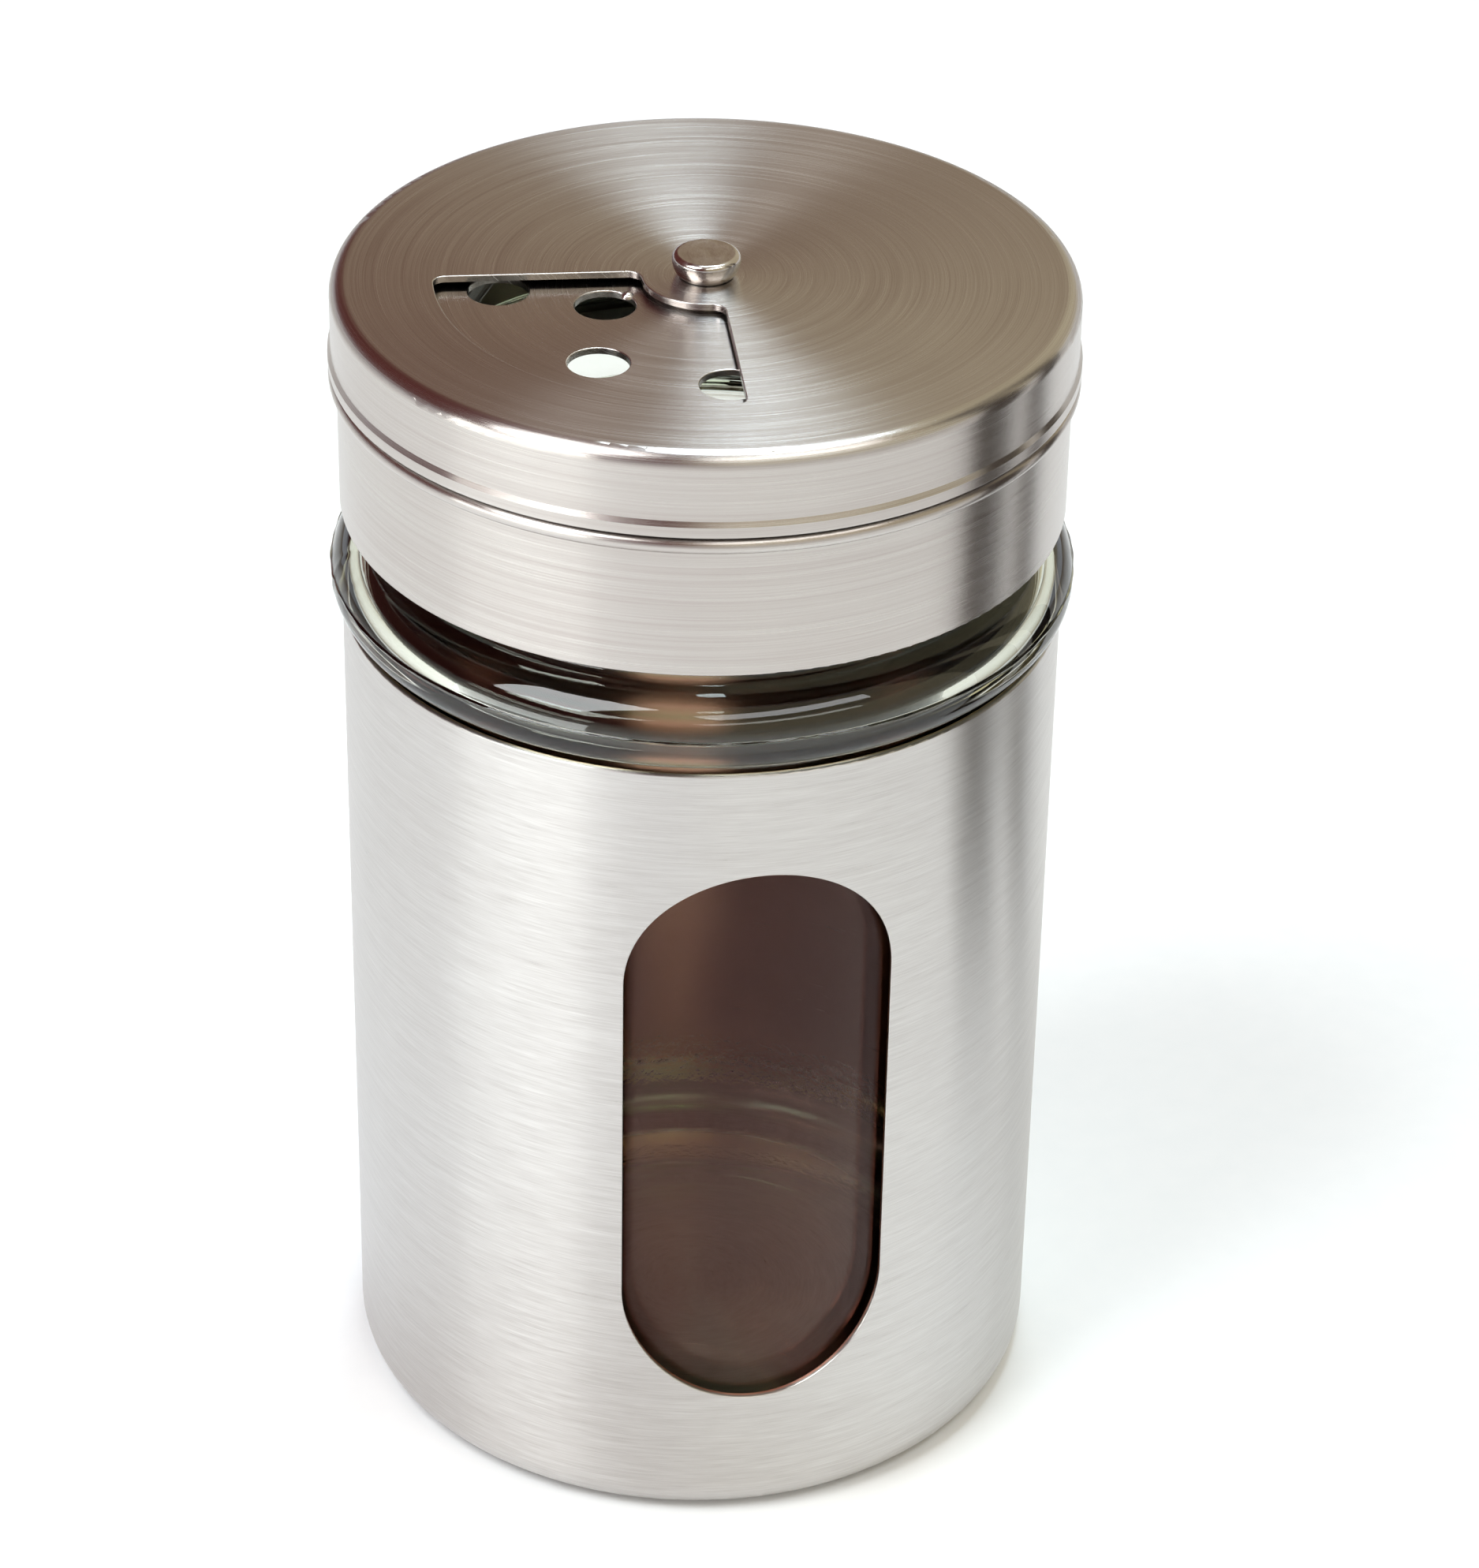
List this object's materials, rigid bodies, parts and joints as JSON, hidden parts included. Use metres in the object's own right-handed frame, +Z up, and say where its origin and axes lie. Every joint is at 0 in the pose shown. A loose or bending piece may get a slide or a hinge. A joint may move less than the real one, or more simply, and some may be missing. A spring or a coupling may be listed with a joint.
{
  "type": "rotating-lid spice shaker",
  "caption": "Glass spice jar in a windowed steel sleeve, with a screw-on perforated lid and a turning top that opens to shake or pour.",
  "frame": {"origin": "centre of the ring the shaker stands on", "axes": "+Z up along the jar's axis and the turning axis of the lid and dial; -Y faces out of the sleeve's viewing window"},
  "size_m": [0.051, 0.0508, 0.0877],
  "materials": {
    "clear_glass": "clear, faint green tint",
    "sleeve_steel": "fine brushing round the wall",
    "lid_steel": "circular brushing on the flats, brushing round the walls",
    "polished_steel": "polished",
    "spring_steel": "satin",
    "insert_plastic": "moulded, matte",
    "silicone": "translucent white, matte"
  },
  "bodies": {
    "jar": {"glass_jar": "clear_glass", "outer_sleeve": "sleeve_steel"},
    "seal": {"mouth_seal": "silicone"},
    "lid": {"shaker_cap": "lid_steel", "thread_insert": "insert_plastic", "center_rivet": "polished_steel", "wave_washer": "spring_steel", "backing_washer": "spring_steel"},
    "dial": {"dial_cap": "lid_steel"}
  },
  "joints": [
    {"name": "lid_lift", "type": "slide", "parent": "jar", "child": "seal", "axis": [0, 0, 1], "range_m": [0, 0.00504]},
    {"name": "lid_turn", "type": "hinge", "parent": "seal", "child": "lid", "pos_m": [0, 0, 0.076], "axis": [0, 0, 1], "range_deg": [0, 432]},
    {"name": "dial_turn", "type": "hinge", "parent": "lid", "child": "dial", "pos_m": [0, 0, 0.0855], "axis": [0, 0, 1], "continuous": true}
  ],
  "couplings": [
    {"joint": "lid_lift", "follows": "lid_turn", "m_per_rad": 0.00066845}
  ]
}
